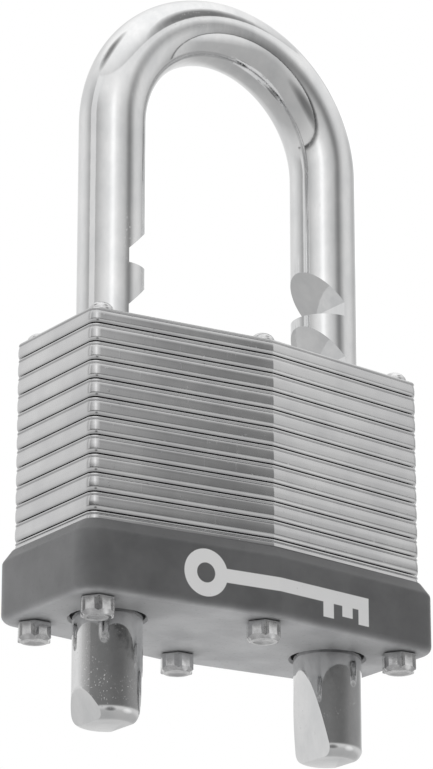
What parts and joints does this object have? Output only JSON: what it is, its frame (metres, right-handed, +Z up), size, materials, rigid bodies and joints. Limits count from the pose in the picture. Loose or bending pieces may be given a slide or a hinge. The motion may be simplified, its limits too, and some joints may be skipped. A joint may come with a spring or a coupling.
{
  "type": "padlock",
  "caption": "Laminated steel padlock: a notched chrome shackle slides down through the riveted body and locks at several heights.",
  "frame": {"origin": "centre of the bounding box's base: midway between the shackle's legs, level with the leg tips, which stand 12.3 mm below the bumper", "axes": "+X along the lock's width towards the viewer's right, +Y towards the back, where the key goes in, +Z up the shackle towards its arch"},
  "size_m": [0.0492, 0.024, 0.092],
  "materials": {
    "plate_steel": "zinc-bright stamped steel, rolled edges",
    "rivet_steel": "bright cold-headed steel",
    "bumper_plastic": "satin moulded, dark grey",
    "shackle_chrome": "polished plating over hardened steel",
    "housing_brass": "machined",
    "plug_brass": "turned, lightly brushed face",
    "pin_brass": "turned",
    "spring_steel": "drawn wire",
    "latch_steel": "ground, hardened"
  },
  "bodies": {
    "body": {"top_plate": "plate_steel", "plate_02": "plate_steel", "plate_03": "plate_steel", "plate_04": "plate_steel", "plate_05": "plate_steel", "plate_06": "plate_steel", "plate_07": "plate_steel", "plate_08": "plate_steel", "plate_09": "plate_steel", "plate_10": "plate_steel", "plate_11": "plate_steel", "plate_12": "plate_steel", "plate_13": "plate_steel", "base_plate": "plate_steel", "bumper": "bumper_plastic", "rivet_front_left": "rivet_steel", "rivet_front_middle": "rivet_steel", "rivet_front_right": "rivet_steel", "rivet_back_left": "rivet_steel", "rivet_back_middle": "rivet_steel", "rivet_back_right": "rivet_steel", "cylinder_housing": "housing_brass", "driver_pin_1": "pin_brass", "driver_pin_2": "pin_brass", "driver_pin_3": "pin_brass", "driver_pin_4": "pin_brass", "pin_spring_1": "spring_steel", "pin_spring_2": "spring_steel", "pin_spring_3": "spring_steel", "pin_spring_4": "spring_steel", "latch_spring": "spring_steel"},
    "shackle": {"shackle": "shackle_chrome"},
    "plug": {"key_plug": "plug_brass", "plug_clip": "spring_steel", "drive_pin": "latch_steel", "key_pin_1": "pin_brass", "key_pin_2": "pin_brass", "key_pin_3": "pin_brass", "key_pin_4": "pin_brass"},
    "slide": {"cam_slide": "latch_steel"},
    "latch_left": {"latch_left": "latch_steel", "latch_peg_left": "latch_steel"},
    "latch_right": {"latch_right": "latch_steel", "latch_peg_right": "latch_steel"}
  },
  "joints": [
    {"name": "shackle_slide", "type": "slide", "parent": "body", "child": "shackle", "axis": [0, 0, 1], "range_m": [-0.02079, 0.048]},
    {"name": "plug_turn", "type": "hinge", "parent": "body", "child": "plug", "pos_m": [0.00617, 0, 0.0255], "axis": [0, -1, 0], "range_deg": [0, 90]},
    {"name": "slide_lift", "type": "slide", "parent": "body", "child": "slide", "axis": [0, 0, 1], "range_m": [0, 0.00283]},
    {"name": "latch_left_out", "type": "slide", "parent": "body", "child": "latch_left", "axis": [-1, 0, 0], "range_m": [0, 0.0032]},
    {"name": "latch_right_out", "type": "slide", "parent": "body", "child": "latch_right", "axis": [1, 0, 0], "range_m": [0, 0.0032]}
  ],
  "couplings": [
    {"joint": "plug_turn", "follows": "slide_lift", "rad_per_m": 555},
    {"joint": "latch_left_out", "follows": "slide_lift", "ratio": 1.1307},
    {"joint": "latch_right_out", "follows": "slide_lift", "ratio": 1.1307}
  ]
}
